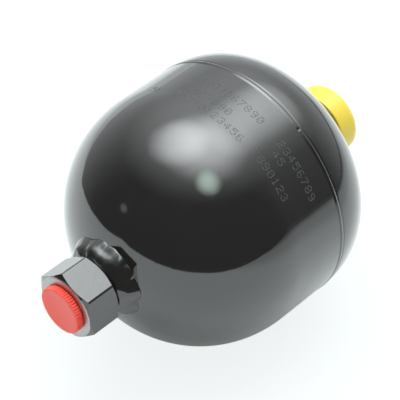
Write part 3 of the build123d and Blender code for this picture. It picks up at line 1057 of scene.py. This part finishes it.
def table():
    """A white table top, whose near edges the gloss of the vessel shows."""
    clear_selection()
    # its corners, in metres ahead of and to the right of a point under the vessel
    outline = [(-0.5, -1.0), (0.2, -0.4), (3.0, -1.5), (3.0, 2.0), (-0.5, 2.0)]
    bpy.ops.mesh.primitive_circle_add(vertices=len(outline), radius=1, fill_type="NGON")
    top = bpy.context.active_object
    top.name = "table_top"
    under = Vector((0.095, 0, 0))
    gap = 0.00002  # metres between the table and the vessel's lowest point
    for vertex, (along, across) in zip(top.data.vertices, outline):
        place = under + ahead * along + rightward * across
        vertex.co = (place.x, place.y, cad_low.z - gap)
    material = bpy.data.materials.new("white table")
    material.use_nodes = True
    tree = material.node_tree
    tree.nodes.clear()
    # painted light: the table's colour and glow are made to fall off ahead and to the right, and to
    # rise a fifth on the left and on the right ahead
    spot = add(tree, "ShaderNodeTexCoord").outputs["Object"]
    level = 1.0
    for way, near, far, value in (
        # degrees round from ahead, where the fade starts and ends in metres, its end value
        (-25, 0.3, 0.6, 0.6),
        (100, 0.2, 0.4, 0.7),
        (100, 0.4, 1.2, 0.2),
        (-95, 0.05, 0.3, 1.2),
        (35, 0.05, 0.35, 1.2),
    ):
        direction = towards(way, 0)
        start = under.dot(direction)
        along = add(
            tree, "ShaderNodeVectorMath", {0: spot, 1: direction}, operation="DOT_PRODUCT"
        )
        fade = add(
            tree,
            "ShaderNodeMapRange",
            {
                "Value": along.outputs["Value"],
                "From Min": start + near,
                "From Max": start + far,
                "To Min": 1.0,
                "To Max": value,
            },
            interpolation_type="SMOOTHSTEP",
        )
        level = add(
            tree, "ShaderNodeMath", {0: level, 1: fade.outputs["Result"]}, operation="MULTIPLY"
        ).outputs["Value"]
    # seen directly the table is white all over, and only its reflection keeps the painted falloff
    path = add(tree, "ShaderNodeLightPath")
    direct = seen_directly(tree, path)
    level = add(tree, "ShaderNodeMath", {0: level, 1: direct}, operation="MAXIMUM").outputs["Value"]
    # painted light: the table's matt colour carries the painted falloff
    painted_falloff_tone = add(
        tree,
        "ShaderNodeMix",
        {"Factor": level, "A": (0, 0, 0, 1), "B": linear("#dee0e0")},
        data_type="RGBA",
    )
    matt = add(tree, "ShaderNodeBsdfDiffuse", {"Color": painted_falloff_tone.outputs["Result"]})
    # seen directly it is mostly plain white and keeps a light shadow; gloss shows more of its shade
    plain = add(tree, "ShaderNodeMath", {0: direct, 1: 0.8}, operation="MULTIPLY")
    share = add(
        tree,
        "ShaderNodeMath",
        {0: path.outputs["Is Glossy Ray"], 1: 0.1, 2: plain.outputs["Value"]},
        operation="MULTIPLY_ADD",
    )
    # painted light: the glow that gloss sees carries the painted falloff
    painted_falloff_glow = add(tree, "ShaderNodeMath", {0: level, 1: 1.07}, operation="MULTIPLY")
    white = add(
        tree,
        "ShaderNodeEmission",
        {"Color": linear("#fbffff"), "Strength": painted_falloff_glow.outputs["Value"]},
    )
    both = add(
        tree,
        "ShaderNodeMixShader",
        {0: share.outputs["Value"], 1: matt.outputs["BSDF"], 2: white.outputs["Emission"]},
    )
    add(tree, "ShaderNodeOutputMaterial", {"Surface": both.outputs["Shader"]})
    top.data.materials.append(material)


def studio():
    """A dim room: a soft box nearly overhead, a pale wall behind the vessel, a small window and a
    far lamp."""
    room, window = 0.09, towards(163, 65)
    world = bpy.data.worlds.new("studio")
    bpy.context.scene.world = world
    world.use_nodes = True
    tree = world.node_tree
    tree.nodes.clear()
    way = add(tree, "ShaderNodeTexCoord").outputs["Generated"]
    level = room
    for direction, edge, core, strength in (
        # where it is, the cosines where its glow starts and where it is full, its strength
        (towards(20, 80), 0.8, 1.15, 5.6),  # soft box
        (towards(-45, 70), 0.9, 1.0, 2.0),  # its left end, nearer
        (towards(40, 55), 0.9, 1.0, 1.0),  # its right end
        (towards(0, 75), 0.5, 1.0, 0.8),  # what it spills on the ceiling
        (towards(10, 10), -0.2, 1.2, 0.7),  # pale wall behind
        (window, 0.975, 1.016, 5.0),  # small window over the camera's shoulder
        (towards(-107, 15), 0.9975, 1.0, 0.55),  # a far lamp on the left
    ):
        facing = add(
            tree, "ShaderNodeVectorMath", {0: way, 1: direction}, operation="DOT_PRODUCT"
        )
        soft = add(
            tree,
            "ShaderNodeMapRange",
            {
                "Value": facing.outputs["Value"],
                "From Min": edge,
                "From Max": core,
                "To Min": 0.0,
                "To Max": strength,
            },
            interpolation_type="SMOOTHSTEP",
        )
        level = add(
            tree, "ShaderNodeMath", {0: level, 1: soft.outputs["Result"]}, operation="ADD"
        ).outputs["Value"]
    # past the table's end the eye sees plain white, while the gloss still shows the room
    direct = seen_directly(tree, add(tree, "ShaderNodeLightPath"))
    total = add(tree, "ShaderNodeMath", {0: level, 1: direct}, operation="MAXIMUM")
    # the window lets in a greener light than the lamps give
    facing = add(tree, "ShaderNodeVectorMath", {0: way, 1: window}, operation="DOT_PRODUCT")
    green = add(
        tree,
        "ShaderNodeMapRange",
        {"Value": facing.outputs["Value"], "From Min": 0.972, "From Max": 0.99},
    )
    tint = add(
        tree,
        "ShaderNodeMix",
        {"Factor": green.outputs["Result"], "A": linear("#f8fdff"), "B": linear("#eafff4")},
        data_type="RGBA",
    )
    sky = add(
        tree,
        "ShaderNodeBackground",
        {"Color": tint.outputs["Result"], "Strength": total.outputs["Value"]},
    )
    add(tree, "ShaderNodeOutputWorld", {"Surface": sky.outputs["Background"]})


def fill_card():
    """A white card low behind the camera, which fills the plastics and stays out of the gloss."""
    data = bpy.data.lights.new("fill_card", "AREA")
    data.shape = "RECTANGLE"
    away = 1.2  # metres from the seam
    data.size, data.size_y = 1.2, 0.5
    data.energy = 4.2
    card = bpy.data.objects.new("fill_card", data)
    bpy.context.scene.collection.objects.link(card)
    way = towards(180, 16)
    card.location = Vector((seam_x * mm, 0, 0)) + way * away
    card.rotation_euler = way.to_track_quat("Z", "Y").to_euler()
    card.visible_glossy = False
    card.visible_camera = False


fluid_shell()
gas_shell()
girth_weld()
fluid_port()
port_weld()
port_plug()
valve_cap()
gas_boss()
gas_boss_weld()
charging_screw()
bladder()
inner_pieces()
peened_numerals()
camera()
table()
studio()
fill_card()

bpy.context.scene.view_settings.view_transform = "Standard"
